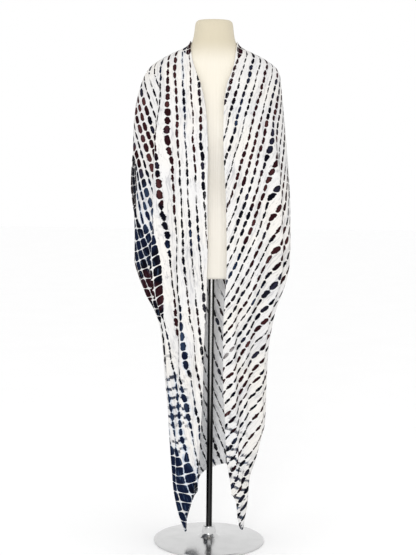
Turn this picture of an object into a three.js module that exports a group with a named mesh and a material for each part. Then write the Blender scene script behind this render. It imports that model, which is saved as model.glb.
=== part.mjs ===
// A long open kimono coat with grown-on batwing sleeves, worn on a limbless dress form on a pole stand.
// Millimetres, +Z up. The coat's front faces -Y, so the wearer's right side is at -X and the left at +X.
// The origin is on the floor, at the middle of the stand's base.
import * as THREE from 'three';

// Driving dimensions
const CLOTH = 2.0; // wall of the cloth
const SEAM_GAP = 0.3; // between two pieces sewn together
const NECK_Z = 1494; // the neckline at the side of the neck
const HEM_LEVEL = 205; // the level of the last row before the hem's own curve lowers it
const HEM_STARTS = 700; // below this level the rows bend towards the hem's curve
const HEM_EASE = 1.3; // power that holds the rows level a little longer
const CUFF = { top: 1156, bottom: 984 }; // the slit in each side fold
const POLE_RADIUS = 9;
const FIT = 0.3; // clearance round the pole in its two sockets
const FORM_BOTTOM = 792;
const SOCKET_DEPTH = 60; // how far the pole runs up inside the form
const BASE = {
  radius: 165, edge: 4, rim: 6, rise: 13, hub: 21, foot: 12, fillet: 6, hubTop: 46, chamfer: 3, floor: 8,
};

// Fineness of the meshes
const FRONT_COLUMNS = 21;
const BACK_COLUMNS = 37;
const LINE_STEPS = 90; // points on a panel's section line
const FORM_SIDES = 32;
const POLE_SIDES = 24;
const BASE_SIDES = 48;

// Colours
const CREAM = 0xeae3d2;
const COAT_GREY = 0xd9d8dc; // the mean of an off-white cloth with indigo marks
const CHROME = 0xa8aaad;

// Rows of numbers under named columns
function named(columns, rows) {
  return rows.map((row) => Object.fromEntries(columns.map((column, i) => [column, row[i]])));
}

// The form's horizontal sections: half width to each side, depth to the front and to the back
const FORM_SECTIONS = named(['z', 'half', 'front', 'back'], [
  [1557, 50, 49, 48],
  [1553, 55, 54, 53],
  [1545, 57.5, 57, 55],
  [1528, 59.5, 58, 56],
  [1508, 62.5, 59, 57],
  [1492, 67, 60, 59],
  [1481, 74, 62, 62],
  [1470, 89, 65, 67],
  [1459, 114, 69, 73],
  [1446, 139, 74, 80],
  [1431, 162, 80, 87],
  [1414, 180, 86, 93],
  [1394, 190, 92, 99],
  [1368, 191, 98, 104],
  [1335, 184, 105, 108],
  [1295, 168, 112, 109],
  [1255, 155, 117, 107],
  [1220, 149, 118, 103],
  [1170, 138, 111, 96],
  [1125, 127, 102, 89],
  [1085, 122, 97, 86],
  [1045, 128, 101, 91],
  [1000, 142, 108, 102],
  [950, 156, 113, 113],
  [900, 165, 115, 119],
  [850, 168, 115, 120],
  [812, 167, 114, 118],
  [797, 166, 113, 117],
  [FORM_BOTTOM, 161, 108, 112],
]);
const FORM_ROUND = 2.15; // superellipse power of the form's sections
const BUST = { x: 76, z: 1222, radius: 62, rise: 16, tall: 0.9, fade: 60 };

// The coat's horizontal sections. right and left are the side folds' distance from the middle, rightEdge and
// leftEdge the x of the two opening edges, front and back the depths, seamY where the side fold lies, and
// round the superellipse power of the section: under 2 where the cloth comes to a fold at the side.
const COAT_COLUMNS = ['z', 'right', 'left', 'rightEdge', 'leftEdge', 'front', 'back', 'seamY', 'round'];
const COAT_SECTIONS = named(COAT_COLUMNS, [
  [1494, 70.5, 70.5, -69.0, 69.0, 63, 62, 0, 2.1],
  [1483, 77, 77, -70.0, 68.5, 65, 65, 0, 2.1],
  [1473, 91, 90, -69.5, 67, 68, 70, 0, 2.1],
  [1462, 116, 114, -68, 65.5, 72, 76, 0, 2.1],
  [1449, 142, 141, -66, 63, 77, 83, 0, 2.1],
  [1434, 167, 166, -63, 61, 84, 90, 0, 2.1],
  [1417, 189, 187, -58, 58, 92, 96, 0, 2.08],
  [1396, 204, 198, -51, 52, 103, 103, 0, 2.05],
  [1360, 218, 203, -38, 39, 114, 110, 0, 1.95],
  [1300, 232, 209, -24, 30.5, 131, 117, -2, 1.82],
  [1230, 238, 216, -17, 29, 143, 119, -4, 1.75],
  [1150, 239, 223, -14, 31, 144, 120, -6, 1.72],
  [1060, 240, 229, -15, 37, 141, 121, -8, 1.72],
  [984, 234, 233, -14, 40, 138, 123, -8, 1.74],
  [900, 231, 235, -12, 42, 135, 125, -6, 1.78],
  [840, 231, 233, -13, 43, 133, 126, -4, 1.84],
  [790, 218, 222, -14, 42, 131, 126, -2, 1.92],
  [740, 196, 203, -14, 39, 128, 124, 0, 1.98],
  [690, 162, 183, -16, 36, 125, 122, 0, 2.0],
  [640, 143, 171, -19, 35, 122, 119, 0, 2.0],
  [570, 131, 160, -22, 35, 120, 115, -5, 2.05],
  [470, 121, 155, -23, 37, 119, 111, -14, 2.1],
  [370, 106, 152, -27, 43, 118, 108, -26, 2.1],
  [270, 92, 120, -32, 48, 116, 107, -38, 2.1],
  [180, 80, 84, -35, 56, 112, 104, -48, 2.1],
  [100, 78, 94, -39, 61, 106, 100, -54, 2.1],
  [20, 64, 96, -42, 66, 100, 96, -58, 2.1],
]);

// How high the hem hangs, along each panel: share 0 is the opening edge, or the right side seam of the back
const HEM_RIGHT = named(['share', 'z'], [[0, 185], [0.12, 152], [0.24, 106], [0.4, 62], [0.65, 46], [1, 44]]);
const HEM_LEFT = named(['share', 'z'], [[0, 164], [0.16, 144], [0.3, 92], [0.5, 60], [0.7, 54], [1, 76]]);
const HEM_BACK = named(['share', 'z'], [
  [0, 44], [0.13, 66], [0.27, 94], [0.38, 121], [0.49, 187], [0.62, 206], [0.75, 203], [0.88, 140], [1, 76],
]);

// Folds: a soft ridge that starts at level from and is full at level full. at and low are its places along
// the panel at those levels, half is its half width, rise how far it stands out and lean how far its crest
// tips along the panel.
const FOLD_COLUMNS = ['at', 'low', 'half', 'from', 'full', 'rise', 'lean'];
const FOLDS_RIGHT = named(FOLD_COLUMNS, [
  [0.46, 0.62, 34, 1390, 1180, 15, 20],
  [0.24, 0.38, 26, 1120, 560, 15, 6],
  [0.80, 0.84, 32, 960, 600, 15, 0],
  [0.05, 0.12, 22, 780, 420, 13, -4],
]);
const FOLDS_LEFT = named(FOLD_COLUMNS, [
  [0.62, 0.64, 30, 1330, 1040, 16, 15],
  [0.36, 0.40, 27, 1180, 620, 15, -8],
  [0.86, 0.86, 30, 1080, 600, 14, 0],
  [0.12, 0.16, 23, 860, 460, 13, 5],
]);
const FOLDS_BACK = named(FOLD_COLUMNS, [
  [0.09, 0.08, 34, 1330, 900, 15, 9],
  [0.20, 0.21, 27, 1240, 700, 19, -7],
  [0.33, 0.30, 33, 1290, 560, 13, 7],
  [0.43, 0.44, 25, 1100, 560, 19, -5],
  [0.55, 0.58, 36, 1300, 640, 17, 6],
  [0.68, 0.69, 26, 1160, 580, 20, -8],
  [0.78, 0.81, 31, 1290, 700, 14, 6],
  [0.91, 0.92, 34, 1340, 900, 16, -9],
]);
const SEAM_CALM = 0.12; // the share of a panel, next to its side seam, over which the folds die out
const TAIL_CALM = 200; // the folds flatten out below this height, in the two tails

const PANELS = {
  right: { hem: HEM_RIGHT, folds: FOLDS_RIGHT, outward: -1 },
  left: { hem: HEM_LEFT, folds: FOLDS_LEFT, outward: 1 },
  back: { hem: HEM_BACK, folds: FOLDS_BACK, outward: -1 },
};

// How far the slit's edges stand from the side fold at its middle, for the front panel and for the back
const CUFF_OPENING = {
  right: { frontIn: 14, frontForward: 13, backOut: 4, backBack: 8 },
  left: { frontIn: 3, frontForward: 8, backOut: 1, backBack: 7 },
};
const CUFF_ROUND = 0.7; // power that makes the slit's ends rounder
const SIDE_REACH = 0.3; // the share of a panel over which the slit's spread fades away

// Rows of the cloth's grid: each band of height is cut into this many steps
const ROW_BANDS = named(['top', 'steps'], [
  [NECK_Z, 8], [1408, 7], [CUFF.top, 5], [CUFF.bottom, 7], [690, 3], [480, 5], [HEM_LEVEL, 0],
]);

// Smooth curve through a table, by a column of that table that rises or falls steadily
function tableValue(table, key, column, at) {
  const rows = table[0][key] <= table[table.length - 1][key] ? table : [...table].reverse();
  const last = rows.length - 1;
  if (at <= rows[0][key]) return rows[0][column];
  if (at >= rows[last][key]) return rows[last][column];
  let i = 0;
  while (rows[i + 1][key] < at) i += 1;
  const slope = (a, b) => (rows[b][column] - rows[a][column]) / (rows[b][key] - rows[a][key]);
  const tangent = (k) => {
    if (k === 0 || k === last) return 0;
    const before = slope(k - 1, k);
    const after = slope(k, k + 1);
    return before * after <= 0 ? 0 : (2 * before * after) / (before + after);
  };
  const span = rows[i + 1][key] - rows[i][key];
  const t = (at - rows[i][key]) / span;
  const ease = t * t * (3 - 2 * t);
  return rows[i][column] * (1 - ease) + rows[i + 1][column] * ease
    + span * t * (1 - t) * ((1 - t) * tangent(i) - t * tangent(i + 1));
}

function smoothStep(low, high, value) {
  const t = Math.min(1, Math.max(0, (value - low) / (high - low)));
  return t * t * (3 - 2 * t);
}

// A point of a superellipse with its middle on x = 0. turn is 0 at +X and a quarter turn at the given depth.
function ovalPoint(half, depth, turn, power) {
  const c = Math.cos(turn);
  const s = Math.sin(turn);
  return [
    half * Math.sign(c) * Math.abs(c) ** (2 / power),
    depth * Math.sign(s) * Math.abs(s) ** (2 / power),
  ];
}

// The plain section line of one panel at a height, as points [x, y] evenly close together
const sectionCache = new Map();

function sectionLine(panel, z) {
  const key = `${panel}:${z.toFixed(3)}`;
  if (sectionCache.has(key)) return sectionCache.get(key);
  const at = (column) => tableValue(COAT_SECTIONS, 'z', column, z);
  const seamY = at('seamY');
  const power = at('round');
  const points = [];
  if (panel === 'back') {
    const depth = at('back') - seamY;
    for (let i = 0; i <= LINE_STEPS; i += 1) {
      const turn = Math.PI * (1 - i / LINE_STEPS);
      const half = turn > Math.PI / 2 ? at('right') : at('left');
      const [x, y] = ovalPoint(half, depth, turn, power);
      points.push([x, seamY + y]);
    }
  } else {
    const side = panel === 'right' ? -1 : 1;
    const half = at(panel);
    const edge = Math.abs(at(`${panel}Edge`));
    const depth = at('front') + seamY;
    const start = Math.acos(Math.min(1, edge / half) ** (power / 2));
    for (let i = 0; i <= LINE_STEPS; i += 1) {
      const [x, y] = ovalPoint(half, depth, start * (1 - i / LINE_STEPS), power);
      points.push([side * x, seamY - y]);
    }
  }
  const along = [0];
  for (let i = 1; i < points.length; i += 1) {
    along.push(along[i - 1] + Math.hypot(points[i][0] - points[i - 1][0], points[i][1] - points[i - 1][1]));
  }
  const line = { points, along, length: along[along.length - 1] };
  sectionCache.set(key, line);
  return line;
}

// The place on a section line at a share of its length, with the direction along it
function onLine(line, share) {
  const want = share * line.length;
  let i = 0;
  while (i < LINE_STEPS - 1 && line.along[i + 1] < want) i += 1;
  const [a, b] = [line.points[i], line.points[i + 1]];
  const span = line.along[i + 1] - line.along[i];
  const t = (want - line.along[i]) / span;
  const [dx, dy] = [(b[0] - a[0]) / span, (b[1] - a[1]) / span];
  return { x: a[0] + (b[0] - a[0]) * t, y: a[1] + (b[1] - a[1]) * t, dx, dy };
}

// The middle of the cloth at a share along a panel and a row's level
function clothPoint(panel, share, level) {
  const { hem, folds, outward } = PANELS[panel];
  const lowered = smoothStep(HEM_STARTS, HEM_LEVEL, level) ** HEM_EASE;
  const z = level - lowered * (HEM_LEVEL - tableValue(hem, 'share', 'z', share));
  const line = sectionLine(panel, z);
  const spot = onLine(line, share);
  let [x, y] = [spot.x, spot.y];
  const normal = [spot.dy * outward, -spot.dx * outward];
  const seamShares = panel === 'back' ? [share, 1 - share] : [1 - share];
  const awayFromSeam = seamShares.reduce((all, s) => all * smoothStep(0, SEAM_CALM, s), 1);
  for (const fold of folds) {
    const grown = smoothStep(fold.from, fold.full, z) * smoothStep(0, TAIL_CALM, z);
    const middle = fold.at + (fold.low - fold.at) * smoothStep(fold.from, HEM_LEVEL, z);
    const q = ((share - middle) * line.length) / fold.half;
    if (Math.abs(q) < 1) {
      const swell = 0.5 * (1 + Math.cos(Math.PI * q)) * grown * awayFromSeam;
      x += swell * (fold.rise * normal[0] + fold.lean * spot.dx);
      y += swell * (fold.rise * normal[1] + fold.lean * spot.dy);
    }
  }
  return new THREE.Vector3(x, y, z);
}

// How far a panel's side edge stands off its neighbour's: a hair at the seams, wide open at the cuff
function seamShift(panel, side, z) {
  const middle = (CUFF.top + CUFF.bottom) / 2;
  const q = (z - middle) / ((CUFF.top - CUFF.bottom) / 2);
  const open = Math.abs(q) < 1 ? Math.cos((Math.PI / 2) * q) ** CUFF_ROUND : 0;
  const cuff = CUFF_OPENING[side];
  const outward = side === 'right' ? -1 : 1;
  if (panel === 'back') {
    return new THREE.Vector3(outward * cuff.backOut * open, SEAM_GAP / 2 + cuff.backBack * open, 0);
  }
  return new THREE.Vector3(-outward * cuff.frontIn * open, -SEAM_GAP / 2 - cuff.frontForward * open, 0);
}

// The grid of points in the middle of a panel's cloth, with the outward normal at each
function clothGrid(panel, columns, levels) {
  const nearShare = 0.5 / (columns - 1);
  const nearLevel = 1;
  const { outward } = PANELS[panel];
  const between = (share, level, otherShare, otherLevel) => (
    clothPoint(panel, otherShare, otherLevel).sub(clothPoint(panel, share, level))
  );
  return levels.map((level) => Array.from({ length: columns }, (_, c) => {
    const share = c / (columns - 1);
    const side = panel === 'back' ? (share < 0.5 ? 'right' : 'left') : panel;
    const point = clothPoint(panel, share, level);
    const down = between(share, level + nearLevel, share, level - nearLevel);
    const atSeam = share === 1 || (panel === 'back' && share === 0);
    const along = atSeam
      ? new THREE.Vector3(0, 1, 0)
      : between(Math.max(0, share - nearShare), level, Math.min(1, share + nearShare), level);
    const normal = new THREE.Vector3().crossVectors(along, down).multiplyScalar(-outward).normalize();
    if (atSeam && normal.x * (side === 'right' ? -1 : 1) < 0) normal.negate();
    const fromSeam = panel === 'back' ? Math.min(share, 1 - share) * 2 : 1 - share;
    point.addScaledVector(seamShift(panel, side, point.z), 1 - smoothStep(0, SIDE_REACH, fromSeam));
    return { point, normal };
  }));
}

// A closed solid from a grid of rows: both faces and the four edges
function solidFromGrid(outer, inner, flip) {
  const rows = outer.length;
  const columns = outer[0].length;
  const positions = [...outer.flat(), ...inner.flat()].flatMap((p) => [p.x, p.y, p.z]);
  const count = rows * columns;
  const index = [];
  const quad = (a, b, c, d) => {
    if (flip) index.push(a, c, b, a, d, c);
    else index.push(a, b, c, a, c, d);
  };
  const id = (r, c) => r * columns + c;
  for (let r = 0; r < rows - 1; r += 1) {
    for (let c = 0; c < columns - 1; c += 1) {
      quad(id(r, c), id(r + 1, c), id(r + 1, c + 1), id(r, c + 1));
      quad(count + id(r, c), count + id(r, c + 1), count + id(r + 1, c + 1), count + id(r + 1, c));
    }
  }
  for (let r = 0; r < rows - 1; r += 1) {
    quad(id(r, 0), count + id(r, 0), count + id(r + 1, 0), id(r + 1, 0));
    const end = columns - 1;
    quad(id(r, end), id(r + 1, end), count + id(r + 1, end), count + id(r, end));
  }
  for (let c = 0; c < columns - 1; c += 1) {
    quad(id(0, c), id(0, c + 1), count + id(0, c + 1), count + id(0, c));
    quad(id(rows - 1, c), count + id(rows - 1, c), count + id(rows - 1, c + 1), id(rows - 1, c + 1));
  }
  const geometry = new THREE.BufferGeometry();
  geometry.setAttribute('position', new THREE.Float32BufferAttribute(positions, 3));
  geometry.setIndex(index);
  return geometry;
}

function rowLevels() {
  const levels = [];
  for (let i = 0; i < ROW_BANDS.length - 1; i += 1) {
    const { top, steps } = ROW_BANDS[i];
    for (let s = 0; s < steps; s += 1) levels.push(top + ((ROW_BANDS[i + 1].top - top) * s) / steps);
  }
  return [...levels, HEM_LEVEL];
}

function clothPanel(panel, columns) {
  const grid = clothGrid(panel, columns, rowLevels());
  const moved = (way) => grid.map((row) => row.map(
    ({ point, normal }) => point.clone().addScaledVector(normal, (way * CLOTH) / 2),
  ));
  return solidFromGrid(moved(1), moved(-1), panel !== 'left');
}

// The dress form

function bustRise(x, z) {
  const off = Math.hypot(Math.abs(x) - BUST.x, (z - BUST.z) * BUST.tall) / BUST.radius;
  return off < 1 ? BUST.rise * (0.5 * (1 + Math.cos(Math.PI * off))) : 0;
}

function formRing({ z, half, front, back }) {
  return Array.from({ length: FORM_SIDES }, (_, i) => {
    const turn = (2 * Math.PI * i) / FORM_SIDES;
    const [x, y] = ovalPoint(half, Math.sin(turn) < 0 ? front : back, turn, FORM_ROUND);
    const forward = y < 0 ? bustRise(x, z) * smoothStep(0, BUST.fade, -y) : 0;
    return new THREE.Vector3(x, y - forward, z);
  });
}

function roundRing(radius, z) {
  return Array.from({ length: FORM_SIDES }, (_, i) => {
    const turn = (2 * Math.PI * i) / FORM_SIDES;
    return new THREE.Vector3(radius * Math.cos(turn), radius * Math.sin(turn), z);
  });
}

// Rings joined into one closed skin, with a flat fan at each end
function ringSolid(rings) {
  const positions = rings.flat().flatMap((p) => [p.x, p.y, p.z]);
  const index = [];
  const id = (r, i) => r * FORM_SIDES + (i % FORM_SIDES);
  for (let r = 0; r < rings.length - 1; r += 1) {
    for (let i = 0; i < FORM_SIDES; i += 1) {
      index.push(id(r, i), id(r + 1, i), id(r + 1, i + 1), id(r, i), id(r + 1, i + 1), id(r, i + 1));
    }
  }
  [0, rings.length - 1].forEach((r, end) => {
    const middle = positions.length / 3;
    const mean = rings[r].reduce((sum, p) => sum.add(p), new THREE.Vector3()).divideScalar(FORM_SIDES);
    positions.push(mean.x, mean.y, mean.z);
    for (let i = 0; i < FORM_SIDES; i += 1) {
      if (end === 0) index.push(middle, id(r, i), id(r, i + 1));
      else index.push(middle, id(r, i + 1), id(r, i));
    }
  });
  const geometry = new THREE.BufferGeometry();
  geometry.setAttribute('position', new THREE.Float32BufferAttribute(positions, 3));
  geometry.setIndex(index);
  return geometry;
}

function torsoGeometry() {
  const socket = POLE_RADIUS + FIT;
  return ringSolid([
    ...FORM_SECTIONS.map(formRing),
    roundRing(socket, FORM_BOTTOM),
    roundRing(socket, FORM_BOTTOM + SOCKET_DEPTH),
  ]);
}

// The stand

function baseGeometry() {
  const socket = POLE_RADIUS + FIT;
  const profile = [
    [0, 0],
    [BASE.radius, 0],
    [BASE.radius, BASE.edge],
    [BASE.radius - BASE.chamfer, BASE.rim],
    [BASE.hub + BASE.foot, BASE.rise],
    [BASE.hub, BASE.rise + BASE.fillet],
    [BASE.hub - 2, BASE.hubTop - BASE.chamfer],
    [BASE.hub - 2 - BASE.chamfer, BASE.hubTop],
    [socket, BASE.hubTop],
    [socket, BASE.floor],
    [0, BASE.floor],
  ].map(([r, z]) => new THREE.Vector2(r, z));
  return new THREE.LatheGeometry(profile, BASE_SIDES).rotateX(Math.PI / 2);
}

function poleGeometry() {
  const bottom = BASE.floor + FIT;
  const top = FORM_BOTTOM + SOCKET_DEPTH - FIT;
  return new THREE.CylinderGeometry(POLE_RADIUS, POLE_RADIUS, top - bottom, POLE_SIDES)
    .rotateX(Math.PI / 2)
    .translate(0, 0, (top + bottom) / 2);
}

const cloth = new THREE.MeshStandardMaterial({ color: COAT_GREY, roughness: 0.85, metalness: 0 });
const jersey = new THREE.MeshStandardMaterial({ color: CREAM, roughness: 0.9, metalness: 0 });
const metal = new THREE.MeshStandardMaterial({ color: CHROME, roughness: 0.2, metalness: 1 });

const kimono = new THREE.Group();

function addPiece(name, geometry, material) {
  const mesh = new THREE.Mesh(geometry, material);
  mesh.name = name;
  kimono.add(mesh);
}

addPiece('front_right', clothPanel('right', FRONT_COLUMNS), cloth);
addPiece('front_left', clothPanel('left', FRONT_COLUMNS), cloth);
addPiece('back', clothPanel('back', BACK_COLUMNS), cloth);
addPiece('form_torso', torsoGeometry(), jersey);
addPiece('stand_pole', poleGeometry(), metal);
addPiece('stand_base', baseGeometry(), metal);

export default kimono;
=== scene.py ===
"""A long open kimono coat on a limbless dress form with a chrome pole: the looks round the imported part.

Lengths are in millimetres in the part's own frame until a mesh is made: +Z up, the coat's front faces -Y,
and the wearer's right side is at -X. The cloth, form and stand follow the same tables as the solids, on
finer grids.
"""
import math

import bpy
import numpy as np
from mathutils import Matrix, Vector


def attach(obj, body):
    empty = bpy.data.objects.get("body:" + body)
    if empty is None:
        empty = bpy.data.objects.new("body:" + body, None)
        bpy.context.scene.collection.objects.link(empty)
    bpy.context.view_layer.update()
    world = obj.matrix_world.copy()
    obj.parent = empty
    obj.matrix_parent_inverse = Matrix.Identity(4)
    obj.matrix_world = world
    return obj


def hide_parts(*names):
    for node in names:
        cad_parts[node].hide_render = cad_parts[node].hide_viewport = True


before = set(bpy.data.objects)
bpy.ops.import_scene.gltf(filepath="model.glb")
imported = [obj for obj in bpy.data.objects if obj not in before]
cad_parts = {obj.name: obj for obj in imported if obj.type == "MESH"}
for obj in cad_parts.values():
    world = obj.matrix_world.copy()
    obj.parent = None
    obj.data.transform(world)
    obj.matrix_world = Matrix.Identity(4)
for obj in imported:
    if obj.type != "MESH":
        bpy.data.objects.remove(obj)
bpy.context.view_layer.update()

MM = 0.001

# Driving dimensions of the coat
NECK_Z = 1494.0
HEM_LEVEL = 205.0
HEM_STARTS = 700.0
HEM_EASE = 1.3
CUFF_TOP = 1156.0
CUFF_BOTTOM = 984.0
CUFF_ROUND = 0.7
SEAM_GAP = 0.3
SEAM_CALM = 0.12
TAIL_CALM = 200.0  # the folds flatten out below this height, in the two tails
SIDE_REACH = 0.3
CLOTH = 0.9  # one layer of the crepe
HEM_CLOTH = 2.0  # three layers, in the turned hem
HEM_WIDTH = 9.0
STITCH = {"length": 2.6, "pitch": 4.2, "radius": 0.22, "inset": 7.4, "sides": 6}
STITCH_SHAPE = ((0, 0.35), (0.2, 0.9), (0.5, 1.0), (0.8, 0.9), (1.0, 0.35))  # shares of length and radius
SLIT_END = 6.0  # the stitches stop this far before the ends of a hand slit
ASLANT = (0.31, 0.77, 0.55)  # a direction that no stitch runs along

# Fineness of the cloth's grids
FRONT_COLUMNS = 118
BACK_COLUMNS = 186
ROW_PITCH = 5.4
HEM_ROWS = (0, 1.5, 3.5, 6, 8, 9.5, 12)  # the rows within each hem, from its edge
CORNER_COLUMNS = 3  # left without stitches at each end of a hem
CORNER_ROWS = 2
LOWEST_LINE = 15.0
LINE_STEPS = 90
SHARE_STEPS = 360
LINE_PITCH = 2.5


def table(columns, rows):
    """Rows of numbers under named columns, as one array for each column."""
    return {column: np.array([row[i] for row in rows], float) for i, column in enumerate(columns)}


# The coat's horizontal sections: the side folds' distance from the middle, the x of the opening edges,
# the depths, where the side fold lies, and the superellipse power
COAT = table(("z", "right", "left", "right_edge", "left_edge", "front", "back", "seam_y", "round"), [
    (1494, 70.5, 70.5, -69.0, 69.0, 63, 62, 0, 2.1),
    (1483, 77, 77, -70.0, 68.5, 65, 65, 0, 2.1),
    (1473, 91, 90, -69.5, 67, 68, 70, 0, 2.1),
    (1462, 116, 114, -68, 65.5, 72, 76, 0, 2.1),
    (1449, 142, 141, -66, 63, 77, 83, 0, 2.1),
    (1434, 167, 166, -63, 61, 84, 90, 0, 2.1),
    (1417, 189, 187, -58, 58, 92, 96, 0, 2.08),
    (1396, 204, 198, -51, 52, 103, 103, 0, 2.05),
    (1360, 218, 203, -38, 39, 114, 110, 0, 1.95),
    (1300, 232, 209, -24, 30.5, 131, 117, -2, 1.82),
    (1230, 238, 216, -17, 29, 143, 119, -4, 1.75),
    (1150, 239, 223, -14, 31, 144, 120, -6, 1.72),
    (1060, 240, 229, -15, 37, 141, 121, -8, 1.72),
    (984, 234, 233, -14, 40, 138, 123, -8, 1.74),
    (900, 231, 235, -12, 42, 135, 125, -6, 1.78),
    (840, 231, 233, -13, 43, 133, 126, -4, 1.84),
    (790, 218, 222, -14, 42, 131, 126, -2, 1.92),
    (740, 196, 203, -14, 39, 128, 124, 0, 1.98),
    (690, 162, 183, -16, 36, 125, 122, 0, 2.0),
    (640, 143, 171, -19, 35, 122, 119, 0, 2.0),
    (570, 131, 160, -22, 35, 120, 115, -5, 2.05),
    (470, 121, 155, -23, 37, 119, 111, -14, 2.1),
    (370, 106, 152, -27, 43, 118, 108, -26, 2.1),
    (270, 92, 120, -32, 48, 116, 107, -38, 2.1),
    (180, 80, 84, -35, 56, 112, 104, -48, 2.1),
    (100, 78, 94, -39, 61, 106, 100, -54, 2.1),
    (20, 64, 96, -42, 66, 100, 96, -58, 2.1),
])

# How high the hem hangs along each panel
HEMS = {
    "right": table(("share", "z"), [(0, 185), (0.12, 152), (0.24, 106), (0.4, 62), (0.65, 46), (1, 44)]),
    "left": table(("share", "z"), [(0, 164), (0.16, 144), (0.3, 92), (0.5, 60), (0.7, 54), (1, 76)]),
    "back": table(("share", "z"), [
        (0, 44), (0.13, 66), (0.27, 94), (0.38, 121), (0.49, 187),
        (0.62, 206), (0.75, 203), (0.88, 140), (1, 76),
    ]),
}

# The large folds, as in the solids
FOLD_COLUMNS = ("at", "low", "half", "from", "full", "rise", "lean")
FOLDS = {
    "right": table(FOLD_COLUMNS, [
        (0.46, 0.62, 34, 1390, 1180, 15, 20),
        (0.24, 0.38, 26, 1120, 560, 15, 6),
        (0.80, 0.84, 32, 960, 600, 15, 0),
        (0.05, 0.12, 22, 780, 420, 13, -4),
    ]),
    "left": table(FOLD_COLUMNS, [
        (0.62, 0.64, 30, 1330, 1040, 16, 15),
        (0.36, 0.40, 27, 1180, 620, 15, -8),
        (0.86, 0.86, 30, 1080, 600, 14, 0),
        (0.12, 0.16, 23, 860, 460, 13, 5),
    ]),
    "back": table(FOLD_COLUMNS, [
        (0.09, 0.08, 34, 1330, 900, 15, 9),
        (0.20, 0.21, 27, 1240, 700, 19, -7),
        (0.33, 0.30, 33, 1290, 560, 13, 7),
        (0.43, 0.44, 25, 1100, 560, 19, -5),
        (0.55, 0.58, 36, 1300, 640, 17, 6),
        (0.68, 0.69, 26, 1160, 580, 20, -8),
        (0.78, 0.81, 31, 1290, 700, 14, 6),
        (0.91, 0.92, 34, 1340, 900, 16, -9),
    ]),
}

# Finer creases: a ridge, or a trough where rise is below 0, that grows from level top to level full and
# fades from level fade to level end
CREASE_COLUMNS = ("at", "low", "half", "top", "full", "fade", "end", "rise")
CREASES = {
    "right": table(CREASE_COLUMNS, [
        (0.10, 0.13, 13, 1300, 1080, 760, 560, 2.6), (0.19, 0.20, 11, 1150, 900, 520, 300, -2.4),
        (0.33, 0.30, 12, 1340, 1160, 900, 700, 2.8), (0.40, 0.41, 9, 1220, 1050, 820, 600, -2.6),
        (0.55, 0.62, 10, 1330, 1200, 980, 860, 2.6), (0.66, 0.70, 11, 1300, 1120, 900, 780, -3.0),
        (0.74, 0.76, 9, 1180, 1040, 760, 600, 2.4), (0.30, 0.27, 12, 760, 600, 320, 180, 3.0),
        (0.52, 0.55, 11, 700, 540, 260, 130, -2.8), (0.70, 0.72, 10, 560, 420, 200, 90, 2.6),
        (0.06, 0.05, 9, 560, 420, 240, 170, -2.0),
    ]),
    "left": table(CREASE_COLUMNS, [
        (0.08, 0.09, 12, 1320, 1100, 800, 600, 2.4), (0.20, 0.22, 13, 1260, 1000, 640, 420, -2.8),
        (0.30, 0.33, 11, 1060, 880, 560, 400, 2.6), (0.48, 0.50, 12, 1330, 1180, 900, 740, 3.0),
        (0.55, 0.56, 9, 1180, 980, 620, 440, -3.2), (0.72, 0.74, 12, 1280, 1100, 820, 660, 3.0),
        (0.79, 0.78, 9, 1120, 940, 620, 440, -2.8), (0.26, 0.25, 12, 700, 520, 260, 140, 2.8),
        (0.47, 0.48, 11, 620, 460, 220, 110, -3.0), (0.74, 0.73, 12, 600, 440, 200, 90, 3.0),
    ]),
    "back": table(CREASE_COLUMNS, [
        (0.14, 0.15, 14, 1300, 1040, 620, 400, -3.0), (0.26, 0.27, 11, 1220, 980, 640, 420, 2.6),
        (0.30, 0.29, 9, 940, 740, 420, 260, -2.4), (0.38, 0.38, 13, 1320, 1100, 780, 560, 2.8),
        (0.49, 0.50, 12, 1280, 1060, 500, 300, -3.2), (0.61, 0.62, 10, 1180, 900, 560, 380, 2.6),
        (0.65, 0.64, 12, 900, 700, 420, 260, -2.6), (0.73, 0.75, 12, 1300, 1080, 700, 480, 3.0),
        (0.85, 0.86, 14, 1240, 1000, 640, 400, -3.0), (0.40, 0.41, 10, 620, 460, 300, 210, 2.4),
        (0.17, 0.18, 9, 700, 520, 300, 160, 2.2),
    ]),
}

CUFF_OPENING = {
    "right": {"front_in": 14, "front_forward": 13, "back_out": 4, "back_back": 8},
    "left": {"front_in": 3, "front_forward": 8, "back_out": 1, "back_back": 7},
}
OUTWARD = {"right": -1, "left": 1, "back": -1}

# The form's horizontal sections
FORM = table(("z", "half", "front", "back"), [
    (1557, 50, 49, 48), (1553, 55, 54, 53), (1545, 57.5, 57, 55),
    (1528, 59.5, 58, 56), (1508, 62.5, 59, 57), (1492, 67, 60, 59),
    (1481, 74, 62, 62), (1470, 89, 65, 67), (1459, 114, 69, 73),
    (1446, 139, 74, 80), (1431, 162, 80, 87), (1414, 180, 86, 93),
    (1394, 190, 92, 99), (1368, 191, 98, 104), (1335, 184, 105, 108),
    (1295, 168, 112, 109), (1255, 155, 117, 107), (1220, 149, 118, 103),
    (1170, 138, 111, 96), (1125, 127, 102, 89), (1085, 122, 97, 86),
    (1045, 128, 101, 91), (1000, 142, 108, 102), (950, 156, 113, 113),
    (900, 165, 115, 119), (850, 168, 115, 120), (812, 167, 114, 118),
    (797, 166, 113, 117), (792, 161, 108, 112),
])
FORM_ROUND = 2.15
FORM_SIDES = 192
FORM_ROW_PITCH = 5.0
FORM_EDGE_LEVELS = (1556, 1554.5, 1552, 1549, 794, 795.5, 799)  # more rows where its two ends round off
FORM_INSET = 0.9  # keeps the smooth form inside the cloth where the solid's facets cut its corners
BUST = {"x": 76, "z": 1222, "radius": 62, "rise": 16, "tall": 0.9, "fade": 60}
POLE = {"radius": 9.0, "wall": 1.5, "round": 0.8, "bottom": 8.3, "top": 851.7, "sides": 96}
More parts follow.
